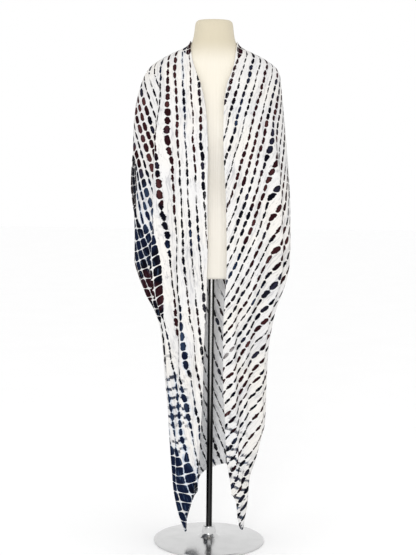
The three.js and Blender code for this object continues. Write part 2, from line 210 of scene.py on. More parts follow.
BASE = {
    "radius": 165, "rim": 6, "rise": 13, "hub": 21, "hub_top": 46, "hub_foot": 10, "hub_flare": 12,
    "hole": 9.4, "round": 2.5, "sides": 160,
}


def curve(rows, key, column, at):
    """Smooth curve through a table: it never overshoots the table's own values."""
    keys, values = rows[key], rows[column]
    if keys[0] > keys[-1]:
        keys, values = keys[::-1], values[::-1]
    slopes = np.diff(values) / np.diff(keys)
    tangents = np.zeros(len(keys))
    before, after = slopes[:-1], slopes[1:]
    steady = before * after > 0
    safe = np.where(steady, before + after, 1.0)
    tangents[1:-1] = np.where(steady, 2 * before * after / safe, 0.0)
    at = np.clip(np.asarray(at, float), keys[0], keys[-1])
    i = np.clip(np.searchsorted(keys, at, side="right") - 1, 0, len(keys) - 2)
    span = keys[i + 1] - keys[i]
    t = (at - keys[i]) / span
    ease = t * t * (3 - 2 * t)
    bend = (1 - t) * tangents[i] - t * tangents[i + 1]
    return values[i] * (1 - ease) + values[i + 1] * ease + span * t * (1 - t) * bend


def smooth_step(low, high, value):
    t = np.clip((value - low) / (high - low), 0, 1)
    return t * t * (3 - 2 * t)


def oval(half, depth, turn, power):
    c, s = np.cos(turn), np.sin(turn)
    return half * np.sign(c) * np.abs(c) ** (2 / power), depth * np.sign(s) * np.abs(s) ** (2 / power)


class SectionLines:
    """One panel's plain section lines at every height, evenly sampled by share of their length."""

    def __init__(self, panel):
        self.heights = np.arange(LOWEST_LINE, NECK_Z + LINE_PITCH, LINE_PITCH)
        at = {column: curve(COAT, "z", column, self.heights)[:, None] for column in COAT if column != "z"}
        steps = np.linspace(0, 1, LINE_STEPS + 1)[None, :]
        if panel == "back":
            turn = math.pi * (1 - steps) + 0 * at["right"]
            half = np.where(turn > math.pi / 2, at["right"], at["left"])
            x, y = oval(half, at["back"] - at["seam_y"], turn, at["round"])
            y = at["seam_y"] + y
            self.starts = np.zeros(len(self.heights))
        else:
            edge = np.abs(at[f"{panel}_edge"])
            start = np.arccos(np.minimum(1, edge / at[panel]) ** (at["round"] / 2))
            x, y = oval(at[panel], at["front"] + at["seam_y"], start * (1 - steps), at["round"])
            x = OUTWARD[panel] * x
            y = at["seam_y"] - y
            self.starts = edge[:, 0]
        along = np.zeros_like(x)
        along[:, 1:] = np.cumsum(np.hypot(np.diff(x, axis=1), np.diff(y, axis=1)), axis=1)
        self.lengths = along[:, -1]
        self.shares = np.linspace(0, 1, SHARE_STEPS + 1)
        even = self.shares[None, :] * self.lengths[:, None]
        self.x = np.array([np.interp(even[i], along[i], x[i]) for i in range(len(even))])
        self.y = np.array([np.interp(even[i], along[i], y[i]) for i in range(len(even))])
        step = self.lengths[:, None] / SHARE_STEPS
        self.dx = np.gradient(self.x, axis=1) / step
        self.dy = np.gradient(self.y, axis=1) / step

    def look_up(self, grid, z, share):
        i = np.clip((z - self.heights[0]) / LINE_PITCH, 0, len(self.heights) - 1.001)
        i0 = i.astype(int)
        ti = i - i0
        if grid.ndim == 1:
            return grid[i0] * (1 - ti) + grid[i0 + 1] * ti
        j = np.clip(share * SHARE_STEPS, 0, SHARE_STEPS - 0.001)
        j0 = j.astype(int)
        tj = j - j0
        low = grid[i0, j0] * (1 - tj) + grid[i0, j0 + 1] * tj
        high = grid[i0 + 1, j0] * (1 - tj) + grid[i0 + 1, j0 + 1] * tj
        return low * (1 - ti) + high * ti


def hump(offset):
    """A smooth hump: 1 at an offset of 0, and 0 from an offset of 1 on."""
    return 0.5 * (1 + np.cos(math.pi * np.clip(offset, -1, 1)))


def each_row(rows):
    """The rows of a table, each as a dictionary."""
    return [dict(zip(rows, values)) for values in zip(*rows.values())]


def fold_middle(fold, z):
    """The share of the section line at which a large fold lies."""
    return fold["at"] + (fold["low"] - fold["at"]) * smooth_step(fold["from"], HEM_LEVEL, z)


def cuff_spread(panel, z, share):
    """How far the edges of the cuff's slit stand from the side fold, for every point of a panel."""
    q = (z - (CUFF_TOP + CUFF_BOTTOM) / 2) / ((CUFF_TOP - CUFF_BOTTOM) / 2)
    gape = np.where(np.abs(q) < 1, np.cos(np.clip(q, -1, 1) * math.pi / 2), 0)
    gape = np.clip(gape, 0, 1) ** CUFF_ROUND
    if panel == "back":
        on_right = share < 0.5
        out = np.where(on_right, -CUFF_OPENING["right"]["back_out"], CUFF_OPENING["left"]["back_out"])
        back = np.where(on_right, CUFF_OPENING["right"]["back_back"], CUFF_OPENING["left"]["back_back"])
        reach = 1 - smooth_step(0, SIDE_REACH, np.minimum(share, 1 - share) * 2)
        return out * gape * reach, (SEAM_GAP / 2 + back * gape) * reach
    cuff = CUFF_OPENING[panel]
    reach = 1 - smooth_step(0, SIDE_REACH, 1 - share)
    inward = -OUTWARD[panel] * cuff["front_in"] * gape
    forward = SEAM_GAP / 2 + cuff["front_forward"] * gape
    return inward * reach, -forward * reach


def row_levels():
    """Levels of the grid's rows, closer together in the hems at the neck and at the bottom."""
    hem = np.array(HEM_ROWS)
    deep = hem[-1]
    count = int((NECK_Z - HEM_LEVEL - 2 * deep) / ROW_PITCH)
    middle = np.linspace(NECK_Z - deep, HEM_LEVEL + deep, count)[1:-1]
    return np.concatenate([NECK_Z - hem, middle, HEM_LEVEL + hem[::-1]])


def hang_panel(panel, columns):
    """The middle of one panel's cloth as a grid, with what the dye needs to know at each point."""
    lines = SectionLines(panel)
    share, level = np.meshgrid(np.linspace(0, 1, columns), row_levels())
    lowered = smooth_step(HEM_STARTS, HEM_LEVEL, level) ** HEM_EASE
    z = level - lowered * (HEM_LEVEL - curve(HEMS[panel], "share", "z", share))
    x, y = lines.look_up(lines.x, z, share), lines.look_up(lines.y, z, share)
    dx, dy = lines.look_up(lines.dx, z, share), lines.look_up(lines.dy, z, share)
    size = np.maximum(np.hypot(dx, dy), 1e-6)
    dx, dy = dx / size, dy / size
    length = lines.look_up(lines.lengths, z, share)
    outward = OUTWARD[panel]
    nx, ny = dy * outward, -dx * outward
    calm = smooth_step(0, SEAM_CALM, 1 - share)
    if panel == "back":
        calm = calm * smooth_step(0, SEAM_CALM, share)
    for fold in each_row(FOLDS[panel]):
        grown = smooth_step(fold["from"], fold["full"], z) * smooth_step(0, TAIL_CALM, z)
        swell = hump((share - fold_middle(fold, z)) * length / fold["half"]) * grown * calm
        x = x + swell * (fold["rise"] * nx + fold["lean"] * dx)
        y = y + swell * (fold["rise"] * ny + fold["lean"] * dy)
    for crease in each_row(CREASES[panel]):
        top, end, at = crease["top"], crease["end"], crease["at"]
        grown = smooth_step(top, crease["full"], z) * smooth_step(end, crease["fade"], z)
        middle = at + (crease["low"] - at) * smooth_step(top, end, z)
        swell = hump((share - middle) * length / crease["half"]) * grown * calm * crease["rise"]
        x = x + swell * nx
        y = y + swell * ny
    shift_x, shift_y = cuff_spread(panel, z, share)
    if panel == "back":
        arc = (share - 0.5) * length
    else:
        arc = lines.look_up(lines.starts, z, share) + share * length
    return {
        "points": np.stack([x + shift_x, y + shift_y, z], axis=2),
        "share": share,
        "length": length,
        "arc": arc,
        "drop": NECK_Z - z,
    }


def unit(vectors):
    return vectors / np.maximum(np.linalg.norm(vectors, axis=-1, keepdims=True), 1e-9)


def grid_normals(points, outward):
    along = np.gradient(points, axis=1)
    down = np.gradient(points, axis=0)
    return -unit(np.cross(along, down)) * outward


def edge_distance(panel, hung):
    """How far each point of a panel is from its nearest free edge, along the cloth."""
    points, share = hung["points"], hung["share"]
    steps = np.linalg.norm(np.diff(points, axis=0), axis=2)
    fallen = np.zeros(share.shape)
    fallen[1:] = np.cumsum(steps, axis=0)
    distance = np.minimum(fallen, fallen[-1:] - fallen)
    z = points[:, :, 2]
    in_slit = (z > CUFF_BOTTOM) & (z < CUFF_TOP)
    to_side = np.minimum(share, 1 - share) if panel == "back" else 1 - share
    distance = np.where(in_slit, np.minimum(distance, to_side * hung["length"]), distance)
    if panel != "back":
        distance = np.minimum(distance, share * hung["length"])
    return distance


# How the bound rows of dye run. Each list gives, at a drop below the neck, how far a row leans for each
# millimetre that it falls: towards the opening on the fronts, towards the wearer's left on the back
LEANS = {
    "right": table(("drop", "lean"), [(0, 0.05), (400, 0.055), (800, 0.11), (1100, 0.17), (1500, 0.18)]),
    "wing": table(("drop", "lean"), [(0, 0.38), (1500, 0.38)]),
    "left": table(("drop", "lean"), [
        (0, 0.28), (300, 0.26), (600, 0.42), (850, 0.66), (1100, 0.58), (1500, 0.42),
    ]),
    "back": table(("drop", "lean"), [(0, 0.06), (500, 0.14), (900, 0.24), (1250, 0.38), (1500, 0.4)]),
}
# The spacing of the rows at the neck, how much of it each millimetre of drop takes off, and where the
# first row lies
ROWS = {
    "right": {"pitch": 23.6, "shrink": 7e-5, "first": 0.38},
    "wing": {"pitch": 22.0, "shrink": 0.0, "first": 39.67},
    "left": {"pitch": 25.5, "shrink": 9e-5, "first": 0.15},
    "back": {"pitch": 18.0, "shrink": 5e-5, "first": 80.5},
}
# The length of a bead and its gap, at a drop below the neck
BEADS = {
    "right": table(("drop", "pitch"), [(0, 24), (200, 25), (420, 28.5), (800, 28), (1100, 26), (1500, 26)]),
    "wing": table(("drop", "pitch"), [(0, 29.5), (1500, 29.5)]),
    "left": table(("drop", "pitch"), [(0, 21.5), (300, 23.5), (600, 26), (1500, 25)]),
    "back": table(("drop", "pitch"), [(0, 24), (500, 26.5), (1500, 26)]),
}
WING_PAST_FOLD = 22.0  # the wing's own rows start this far outside the middle of the first fold
WING_TOP = (1380.0, 1420.0)
WING_TAPER = (760.0, 590.0)
WING_TURN = 0.4  # the share of the cloth turned away round the side that counts in the wing's spacing
NO_WING = -50.0
LONGEST_DROP = 1520.0
DROP_STEP = 5.0


def dye_rows(name, arc, drop):
    """Row and bead coordinates of a field of bound rows: whole numbers lie between rows and beads."""
    sign = -1 if name == "back" else 1
    falls = np.arange(0.0, LONGEST_DROP, DROP_STEP)
    leans = curve(LEANS[name], "drop", "lean", falls)
    drift = np.concatenate([[0], np.cumsum((leans[1:] + leans[:-1]) / 2 * DROP_STEP)])
    angle = np.arctan(leans)
    pitches = curve(BEADS[name], "drop", "pitch", falls)
    beads = np.cos(angle) / pitches
    fall = np.concatenate([[0], np.cumsum((beads[1:] + beads[:-1]) / 2 * DROP_STEP)])
    layout = ROWS[name]
    row = (arc + sign * np.interp(drop, falls, drift)) / (layout["pitch"] * (1 - layout["shrink"] * drop))
    tilt = np.interp(drop, falls, np.sin(angle) / pitches)
    run = np.interp(drop, falls, fall) - sign * arc * tilt
    return row + layout["first"], run


def spots(x, z, rows):
    """Soft oval spots in the worn coat's own x and z, each with a strength."""
    total = np.zeros(x.shape)
    for spot in rows:
        distance = ((x - spot[0]) / spot[2]) ** 2 + ((z - spot[1]) / spot[3]) ** 2
        total += spot[4] * np.exp(-distance)
    return np.clip(total, -1, 1)


# Rows that stand out: row number, top and bottom z, and how much bolder, browner and bluer they are than
# the rest
MARK_FADE = 30  # a marked row comes and goes over this height above and below its ends
ROW_COLUMNS = ("row", "top", "bottom", "bold", "brown", "blue")
MARKED_ROWS = {
    "right": table(ROW_COLUMNS, [
        (1, 1494, 1000, 0.45, 0.1, 0.3), (1, 800, 560, 0.7, 0.5, 0.0),
        (2, 1494, 1040, 0.55, 0.2, 0.2), (3, 1494, 1100, 0.05, 0.7, 0.0),
        (3, 780, 560, 0.8, 0.2, 0.2), (4, 1494, 1180, 0.0, 0.0, 0.5),
        (5, 1494, 1180, 0.75, 1.2, 0.0), (6, 1480, 980, 0.6, 0.7, 0.0),
        (6, 730, 520, 0.95, 0.1, 0.4), (7, 1080, 620, 0.4, 0.4, 0.1),
    ]),
    "wing": table(ROW_COLUMNS, [
        (52, 1440, 1150, 1.2, 0.1, 0.0), (53, 1400, 1120, 0.9, 1.0, 0.0),
        (54, 1350, 1060, 1.6, 0.8, 0.0), (55, 1300, 900, -0.5, 0.1, 0.2),
        (56, 1200, 940, 2.0, 0.1, 0.0), (57, 1120, 940, 0.5, 0.0, 1.0),
        (58, 1060, 940, 0.3, 0.0, 1.0),
    ]),
    "left": table(ROW_COLUMNS, [
        (2, 1494, 1330, 0.6, 0.3, 0.3), (3, 1494, 1180, 0.7, 0.5, 0.0),
        (5, 1480, 1120, 0.6, 0.0, 0.2), (6, 1400, 1200, -0.4, 0.0, 0.2),
        (7, 1470, 800, 0.35, 1.1, 0.0), (9, 1400, 1000, 0.35, 0.3, 0.0),
        (10, 1440, 1100, 0.9, 0.1, 0.0), (11, 1380, 900, 0.45, 0.6, 0.0),
        (13, 1200, 700, 0.3, 0.2, 0.0), (15, 1100, 600, 0.3, 0.5, 0.0),
        (17, 1000, 500, 0.45, 0.2, 0.0), (19, 900, 300, 0.45, 0.8, 0.0),
        (22, 800, 100, 0.5, 0.6, 0.1),
    ]),
    "back": table(ROW_COLUMNS, [
        (74, 1400, 900, 0.6, 0.5, 0.0), (77, 1400, 700, 0.4, 0.9, 0.0),
        (80, 1480, 900, 0.5, 0.1, 0.3), (83, 1400, 600, 0.35, 0.8, 0.0),
        (86, 1400, 800, 0.6, 0.0, 0.2), (89, 1300, 500, 0.5, 0.6, 0.0),
    ]),
}

# Where the dye pooled: x, z, half width, half height and strength of each spot
ZONES = {
    "right": {
        "net": [
            (-238, 1050, 10, 80, 1.3), (-78, 1478, 13, 30, 1.3), (-215, 820, 62, 125, 1.35),
            (-180, 700, 40, 60, 0.8), (-85, 115, 90, 135, 1.4), (-120, 240, 34, 70, 0.5),
        ],
        "bands": [(-120, 400, 52, 150, 1.0), (-150, 960, 60, 90, 0.25)],
        "sparse": [(-70, 880, 36, 180, 0.35), (-55, 560, 20, 120, 0.25)],
        "bold": [(-205, 1150, 75, 240, 1.1), (-100, 400, 70, 160, 0.3)],
        "brown": [(-205, 745, 46, 70, 1.0)],
        "blue": [(-200, 900, 50, 110, 0.8), (-110, 400, 80, 150, 0.9), (-85, 130, 100, 150, 1.2)],
    },
    "left": {
        "net": [(78, 1470, 12, 26, 1.1)],
        "bands": [(60, 300, 60, 120, 0.5), (70, 130, 60, 110, 0.9)],
        "sparse": [(75, 640, 30, 120, 0.3), (130, 1300, 30, 70, 0.2)],
        "bold": [(160, 1000, 130, 420, 0.45), (60, 400, 80, 260, 0.45), (70, 150, 60, 130, 0.5)],
        "brown": [(170, 960, 60, 200, 0.35), (85, 340, 70, 140, 0.5), (45, 1010, 25, 60, 0.4)],
        "blue": [(60, 300, 60, 100, 0.5), (170, 740, 40, 50, 0.5)],
    },
    "back": {
        "net": [(-190, 840, 60, 150, 0.9), (-100, 120, 80, 110, 1.1), (-236, 1055, 26, 90, 1.5)],
        "bands": [(-120, 400, 60, 150, 0.7)],
        "sparse": [(30, 1050, 70, 180, 0.4), (90, 500, 60, 160, 0.35)],
        "bold": [(-170, 1150, 60, 200, 0.5), (150, 1000, 70, 240, 0.3)],
        "brown": [(-180, 1100, 60, 170, 0.4), (140, 900, 70, 200, 0.35)],
        "blue": [(-190, 860, 60, 140, 0.8), (-110, 250, 90, 200, 0.9)],
    },
}


def marked(name, row, z):
    """How bold, brown and blue the marked rows make the dye, point by point."""
    sums = {column: np.zeros(row.shape) for column in ("bold", "brown", "blue")}
    for mark in each_row(MARKED_ROWS[name]):
        near = smooth_step(0.62, 0.42, np.abs(row - mark["row"] - 0.5))
        near = near * smooth_step(mark["bottom"] - MARK_FADE, mark["bottom"] + MARK_FADE, z)
        near = near * smooth_step(mark["top"] + MARK_FADE, mark["top"] - MARK_FADE, z)
        for column, total in sums.items():
            total += near * mark[column]
    return sums


def dye_layout(panel, hung):
    """Everything the dye's material reads, point by point."""
    share, length = hung["share"], hung["length"]
    x, z = hung["points"][:, :, 0], hung["points"][:, :, 2]
    row, run = dye_rows(panel, hung["arc"], hung["drop"])
    marks = marked(panel, row, z)
    wing_row, wing_run, past_fold = row, run, np.full(row.shape, NO_WING)
    if panel == "right":
        fold = each_row(FOLDS["right"])[0]
        wing_arc = np.abs(x) + WING_TURN * (hung["arc"] - np.abs(x))
        wing_row, wing_run = dye_rows("wing", wing_arc, hung["drop"])
        tapered = smooth_step(*WING_TAPER, z) * length
        topped = smooth_step(*WING_TOP, z) * length
        past_fold = (share - fold_middle(fold, z)) * length - WING_PAST_FOLD - tapered - topped
        on_wing = past_fold > 0
        wing_marks = marked("wing", wing_row, z)
        marks = {column: np.where(on_wing, wing_marks[column], marks[column]) for column in marks}
    zones = {name: spots(x, z, rows) for name, rows in ZONES[panel].items()}
    for column in marks:
        zones[column] = zones[column] + marks[column]
    return {
        "dye_main": (row, run, past_fold),
        "dye_wing": (wing_row, wing_run, zones["bold"]),
        "dye_zone": (np.clip(zones["net"], 0, 1), np.clip(zones["bands"], 0, 1), zones["sparse"]),
        "dye_tint": (zones["brown"], zones["blue"], edge_distance(panel, hung)),
    }


def shell_mesh(name, grid, normals, thickness, layout, flip):
    """A closed shell round a grid: outer face, inner face and the four rims."""
    rows, columns = grid.shape[:2]
    half = normals * (thickness / 2)[:, :, None]
    points = np.concatenate([(grid + half).reshape(-1, 3), (grid - half).reshape(-1, 3)]) * MM
    count = rows * columns
    ids = np.arange(count).reshape(rows, columns)
    a, b, c, d = ids[:-1, :-1], ids[1:, :-1], ids[1:, 1:], ids[:-1, 1:]
    outer = np.stack([a, b, c, d], axis=-1).reshape(-1, 4)
    inner = np.stack([a, d, c, b], axis=-1).reshape(-1, 4) + count
    faces = [outer, inner]
    for edge, backward in ((ids[:, 0], False), (ids[:, -1], True), (ids[0], True), (ids[-1], False)):
        near, far = edge[:-1], edge[1:]
        rim = np.stack([near, near + count, far + count, far], axis=-1)
        faces.append(rim[:, ::-1] if backward else rim)
    faces = np.concatenate(faces)
    if flip:
        faces = faces[:, ::-1]
    mesh = bpy.data.meshes.new(name)
    mesh.from_pydata(points.tolist(), [], faces.tolist())
    for label, columns_of in layout.items():
        values = np.stack([np.concatenate([v.ravel(), v.ravel()]) for v in columns_of], axis=-1)
        attribute = mesh.attributes.new(label, "FLOAT_VECTOR", "POINT")
        attribute.data.foreach_set("vector", values.astype(np.float32).ravel())
    side = np.concatenate([np.zeros(count), np.ones(count)])
    attribute = mesh.attributes.new("inside", "FLOAT", "POINT")
    attribute.data.foreach_set("value", side.astype(np.float32))
    return finish_mesh(name, mesh)


def add_object(name, data):
    made = bpy.data.objects.new(name, data)
    bpy.context.scene.collection.objects.link(made)
    return made


def finish_mesh(name, mesh):
    mesh.validate()
    mesh.update()
    mesh.polygons.foreach_set("use_smooth", np.ones(len(mesh.polygons), dtype=bool))
    return add_object(name, mesh)


def coat_panel(name, panel, columns):
    hung = hang_panel(panel, columns)
    normals = grid_normals(hung["points"], OUTWARD[panel])
    layout = dye_layout(panel, hung)
    distance = layout["dye_tint"][2]
    thickness = CLOTH + (HEM_CLOTH - CLOTH) * smooth_step(HEM_WIDTH + 1.5, HEM_WIDTH - 1.5, distance)
    piece = shell_mesh(name, hung["points"], normals, thickness, layout, panel != "left")
    return piece, hung, normals


def stitch_lines(panel, hung, normals):
    """Lines of points on the outer face, one stitch's inset from each free edge of a panel."""
    points, share = hung["points"], hung["share"]
    face = points + normals * (HEM_CLOTH / 2)
    z = points[:, :, 2]
    lines = []
    steps = np.linalg.norm(np.diff(points, axis=0), axis=2)
    fallen = np.vstack([np.zeros((1, share.shape[1])), np.cumsum(steps, axis=0)])
    for from_end in (False, True):
        depth = fallen[-1] - STITCH["inset"] if from_end else np.full(share.shape[1], STITCH["inset"])
        line = [
            [np.interp(depth[c], fallen[:, c], face[:, c, k]) for k in range(3)]
            for c in range(CORNER_COLUMNS, share.shape[1] - CORNER_COLUMNS)
        ]
        lines.append(np.array(line))
    sides = [("open", 0)] if panel != "back" else []
    sides += [("slit", -1)] + ([("slit", 0)] if panel == "back" else [])
    for kind, column in sides:
        line = []
        for r in range(CORNER_ROWS, share.shape[0] - CORNER_ROWS):
            if kind == "slit" and not CUFF_BOTTOM + SLIT_END < z[r, column] < CUFF_TOP - SLIT_END:
                continue
            at = STITCH["inset"] / hung["length"][r, column]
            at = at if column == 0 else 1 - at
            line.append([np.interp(at, share[r], face[r, :, k]) for k in range(3)])
        lines.append(np.array(line))
    return lines


def stitch_mesh(name, lines):
    """Short threads laid end to end along lines of points, all in one mesh."""
    ring = STITCH["sides"]
    shares, bulges = np.array(STITCH_SHAPE).T
    spans = len(shares) - 1
    verts, faces = [], []
    for line in lines:
        steps = np.linalg.norm(np.diff(line, axis=0), axis=1)
        along = np.concatenate([[0], np.cumsum(steps)])
        for start in np.arange(0, along[-1] - STITCH["length"], STITCH["pitch"]):
            stations = start + STITCH["length"] * shares
            middle = np.stack([np.interp(stations, along, line[:, k]) for k in range(3)], axis=-1)
            way = unit(middle[-1] - middle[0])
            side = unit(np.cross(way, ASLANT))
            other = np.cross(way, side)
            first = len(verts)
            for centre, radius in zip(middle, bulges * STITCH["radius"]):
                for i in range(ring):
                    turn = 2 * math.pi * i / ring
                    verts.append((centre + radius * (math.cos(turn) * side + math.sin(turn) * other)) * MM)
            for s in range(spans):
                for i in range(ring):
                    j = (i + 1) % ring
                    low, high = first + s * ring, first + (s + 1) * ring
                    faces.append((low + i, low + j, high + j, high + i))
            faces.append(tuple(first + i for i in reversed(range(ring))))
            faces.append(tuple(first + spans * ring + i for i in range(ring)))
    mesh = bpy.data.meshes.new(name)
    mesh.from_pydata([tuple(v) for v in verts], [], faces)
    return finish_mesh(name, mesh)


def closed_rings(name, rings):
    """Rings of points joined into one closed skin with a fan at each end."""
    count, sides = rings.shape[:2]
    verts = list(map(tuple, rings.reshape(-1, 3) * MM))
    faces = []
    for r in range(count - 1):
        for i in range(sides):
            j = (i + 1) % sides
            faces.append((r * sides + i, (r + 1) * sides + i, (r + 1) * sides + j, r * sides + j))
    for r, backward in ((0, True), (count - 1, False)):
        verts.append(tuple(rings[r].mean(axis=0) * MM))
        for i in range(sides):
            j = (i + 1) % sides
            pair = (r * sides + i, r * sides + j) if backward else (r * sides + j, r * sides + i)
            faces.append((len(verts) - 1, *pair))
    mesh = bpy.data.meshes.new(name)
    mesh.from_pydata(verts, [], faces)
    return finish_mesh(name, mesh)


def form_trunk():
    count = int((FORM["z"][0] - FORM["z"][-1]) / FORM_ROW_PITCH)
    z = np.linspace(FORM["z"][0], FORM["z"][-1], count)
    z = np.sort(np.concatenate([z, FORM_EDGE_LEVELS]))[::-1][:, None]
    turn = np.linspace(0, 2 * math.pi, FORM_SIDES, endpoint=False)[None, :]
    at = {column: curve(FORM, "z", column, z) - FORM_INSET for column in ("half", "front", "back")}
    depth = np.where(np.sin(turn) < 0, at["front"], at["back"])
    x, y = oval(at["half"], depth, turn, FORM_ROUND)
    off = np.hypot(np.abs(x) - BUST["x"], (z - BUST["z"]) * BUST["tall"]) / BUST["radius"]
    rise = BUST["rise"] * hump(off)
    y = y - np.where(y < 0, rise * smooth_step(0, BUST["fade"], -y), 0)
    return closed_rings("form_trunk", np.stack([x, y, z + 0 * x], axis=-1))


def lathe(name, profile, sides):
    """A profile of radius and height turned round the Z axis, top ring first."""
    turn = np.linspace(0, 2 * math.pi, sides, endpoint=False)
    rings = [
        np.stack([r * np.cos(turn), r * np.sin(turn), np.full(sides, z)], axis=-1) for r, z in profile
    ]
    return closed_rings(name, np.array(rings))


def rounded(corners, radius, steps=5):
    """A profile with its inner corners rounded off."""
    done = [corners[0]]
    for before, corner, after in zip(corners, corners[1:], corners[2:]):
        before, corner, after = (np.array(p, float) for p in (before, corner, after))
        into, out = unit(before - corner), unit(after - corner)
        reach = min(radius, np.linalg.norm(before - corner) / 2, np.linalg.norm(after - corner) / 2)
        for t in np.linspace(0, 1, steps):
            start, end = corner + into * reach, corner + out * reach
            done.append(tuple((1 - t) ** 2 * start + 2 * t * (1 - t) * corner + t ** 2 * end))
    return done + [corners[-1]]


def pole_tube():
    r, top, bottom = POLE["radius"], POLE["top"], POLE["bottom"]
    hollow = r - POLE["wall"]
    profile = rounded([(hollow, top), (r, top), (r, bottom), (hollow, bottom)], POLE["round"])
    return lathe("pole_tube", profile, POLE["sides"])


def base_plate():
    hub, rise, top, rim, radius = (BASE[key] for key in ("hub", "rise", "hub_top", "rim", "radius"))
    profile = rounded([
        (BASE["hole"], top), (hub - 3, top), (hub, rise + BASE["hub_foot"]),
        (hub + BASE["hub_flare"], rise), (radius - 3, rim), (radius, rim - 2), (radius, 0), (radius - 4, 0),
    ], BASE["round"])
    return lathe("base_plate", profile, BASE["sides"])


def srgb(red, green, blue):
    """A colour in 0 to 255 as Blender's linear colour."""
    parts = [v / 255 for v in (red, green, blue)]
    return (*(v / 12.92 if v <= 0.04045 else ((v + 0.055) / 1.055) ** 2.4 for v in parts), 1.0)


class Paint:
    """A material with short names for the nodes that it is made of."""

    def __init__(self, name):
        self.material = bpy.data.materials.new(name)
        self.material.use_nodes = True
        self.tree = self.material.node_tree
        self.shader = self.tree.nodes["Principled BSDF"]

    def node(self, kind, **settings):
        made = self.tree.nodes.new(kind)
        for key, value in settings.items():
            setattr(made, key, value)
        return made

    def feed(self, socket, value):
        if isinstance(value, bpy.types.NodeSocket):
            self.tree.links.new(value, socket)
        else:
            socket.default_value = value

    def set(self, socket, value):
        self.feed(self.shader.inputs[socket], value)

    def math(self, operation, *values):
        made = self.node("ShaderNodeMath", operation=operation)
        for socket, value in zip(made.inputs, values):
            self.feed(socket, value)
        return made.outputs[0]

    def add(self, a, b):
        return self.math("ADD", a, b)

    def sub(self, a, b):
        return self.math("SUBTRACT", a, b)

    def mul(self, a, b):
        return self.math("MULTIPLY", a, b)

    def madd(self, a, b, c):
        return self.math("MULTIPLY_ADD", a, b, c)

    def ease(self, value, low, high):
        made = self.node("ShaderNodeMapRange", interpolation_type="SMOOTHSTEP")
        for socket, item in zip(("Value", "From Min", "From Max"), (value, low, high)):
            self.feed(made.inputs[socket], item)
        return made.outputs[0]

    def between(self, share, low, high):
        made = self.node("ShaderNodeMix", data_type="FLOAT")
        for i, item in zip((0, 2, 3), (share, low, high)):
            self.feed(made.inputs[i], item)
        return made.outputs[0]

    def tint(self, share, low, high, blend="MIX"):
        made = self.node("ShaderNodeMix", data_type="RGBA", blend_type=blend)
        for i, item in zip((0, 6, 7), (share, low, high)):
            self.feed(made.inputs[i], item)
        return made.outputs[2]

    def vector(self, x, y, z=0.0):
        made = self.node("ShaderNodeCombineXYZ")
        for socket, item in zip(made.inputs, (x, y, z)):
            self.feed(socket, item)
        return made.outputs[0]

    def split(self, vector):
        made = self.node("ShaderNodeSeparateXYZ")
        self.feed(made.inputs[0], vector)
        return made.outputs

    def attribute(self, name):
        return self.node("ShaderNodeAttribute", attribute_name=name, attribute_type="GEOMETRY").outputs

    def noise(self, vector, scale=1.0, detail=1.0):
        made = self.node("ShaderNodeTexNoise")
        self.feed(made.inputs["Vector"], vector)
        made.inputs["Scale"].default_value = scale
        made.inputs["Detail"].default_value = detail
        return made.outputs[0]

    def cloud(self, row, run, across, along, seed, detail=1.0):
        """Noise over the rows and beads, with a scale across the rows, one along them, and its own seed."""
        return self.noise(self.vector(self.mul(row, across), self.mul(run, along), seed), 1.0, detail)

    def scatter(self, vector):
        made = self.node("ShaderNodeTexWhiteNoise")
        self.feed(made.inputs["Vector"], vector)
        return made.outputs

    def place(self):
        return self.node("ShaderNodeNewGeometry").outputs["Position"]

    def bump(self, height, distance, strength=1.0, under=None):
        made = self.node("ShaderNodeBump")
        made.inputs["Strength"].default_value = strength
        made.inputs["Distance"].default_value = distance
        self.feed(made.inputs["Height"], height)
        if under is not None:
            self.feed(made.inputs["Normal"], under)
        return made.outputs[0]


GROUND_WARM = srgb(230, 227, 222)
GROUND_COOL = srgb(226, 225, 224)
# Painted light: the cloth's inner side gets a lighter ground than its outer side, to brighten the shadowed
# inside of the coat
GROUND_INSIDE_PAINTED_LIGHT = srgb(250, 250, 250)
# Painted glow: the inner side of the cloth shines with its own colour, standing in for daylight through the
# crepe
PAINTED_THROUGH_GLOW = 0.12  # daylight that comes through the thin crepe, seen on its inner side
NAVY = srgb(10, 11, 20)
INDIGO = srgb(16, 24, 46)
INDIGO_LIGHT = srgb(78, 100, 130)
MAUVE = srgb(98, 84, 104)
BROWN = srgb(40, 18, 22)
BROWN_LIGHT = srgb(112, 68, 68)
SLATE = srgb(70, 68, 92)
WATER = srgb(170, 190, 214)
PAINTED_SHADE = srgb(178, 178, 182)
# The dye's measures, as shares of the rows' spacing and of the beads' pitch: how far rows and beads sway or
# stray, a bead's half width, its gap, and how strongly the marked places change the hue
DYE = {
    "row_sway": 0.42, "bead_sway": 0.9, "astray": 0.10, "thin": 0.082, "wider": 0.125, "netted": 0.47,
    "gap": 0.05, "wider_gap": 0.10, "brown": 0.34, "blue": 0.30,
    "row_mm": 22.0, "ragged_mm": 5.2, "net_ragged_mm": 3.4,
}
# Bands of the jersey's colour by height: painted shade that darkens the lower torso and the chest, and the
# jersey's tan at the neck. For each, the two levels in metres between which it comes in, its strength and
# its colour
JERSEY_TAN_AND_PAINTED_SHADE = (
    (1.08, 0.84, 0.7, srgb(226, 221, 211)),
    (1.10, 1.40, 0.8, srgb(230, 223, 207)),
    (1.42, 1.50, 0.9, srgb(206, 196, 172)),
)
POLE_TONE = (0.9, 0.9, 0.88, 1)
BASE_TONE = (0.62, 0.62, 0.62, 1)
# The dark colour of the pole's painted reflection
PAINTED_DARK_REFLECTION = (0.012, 0.012, 0.013, 1)


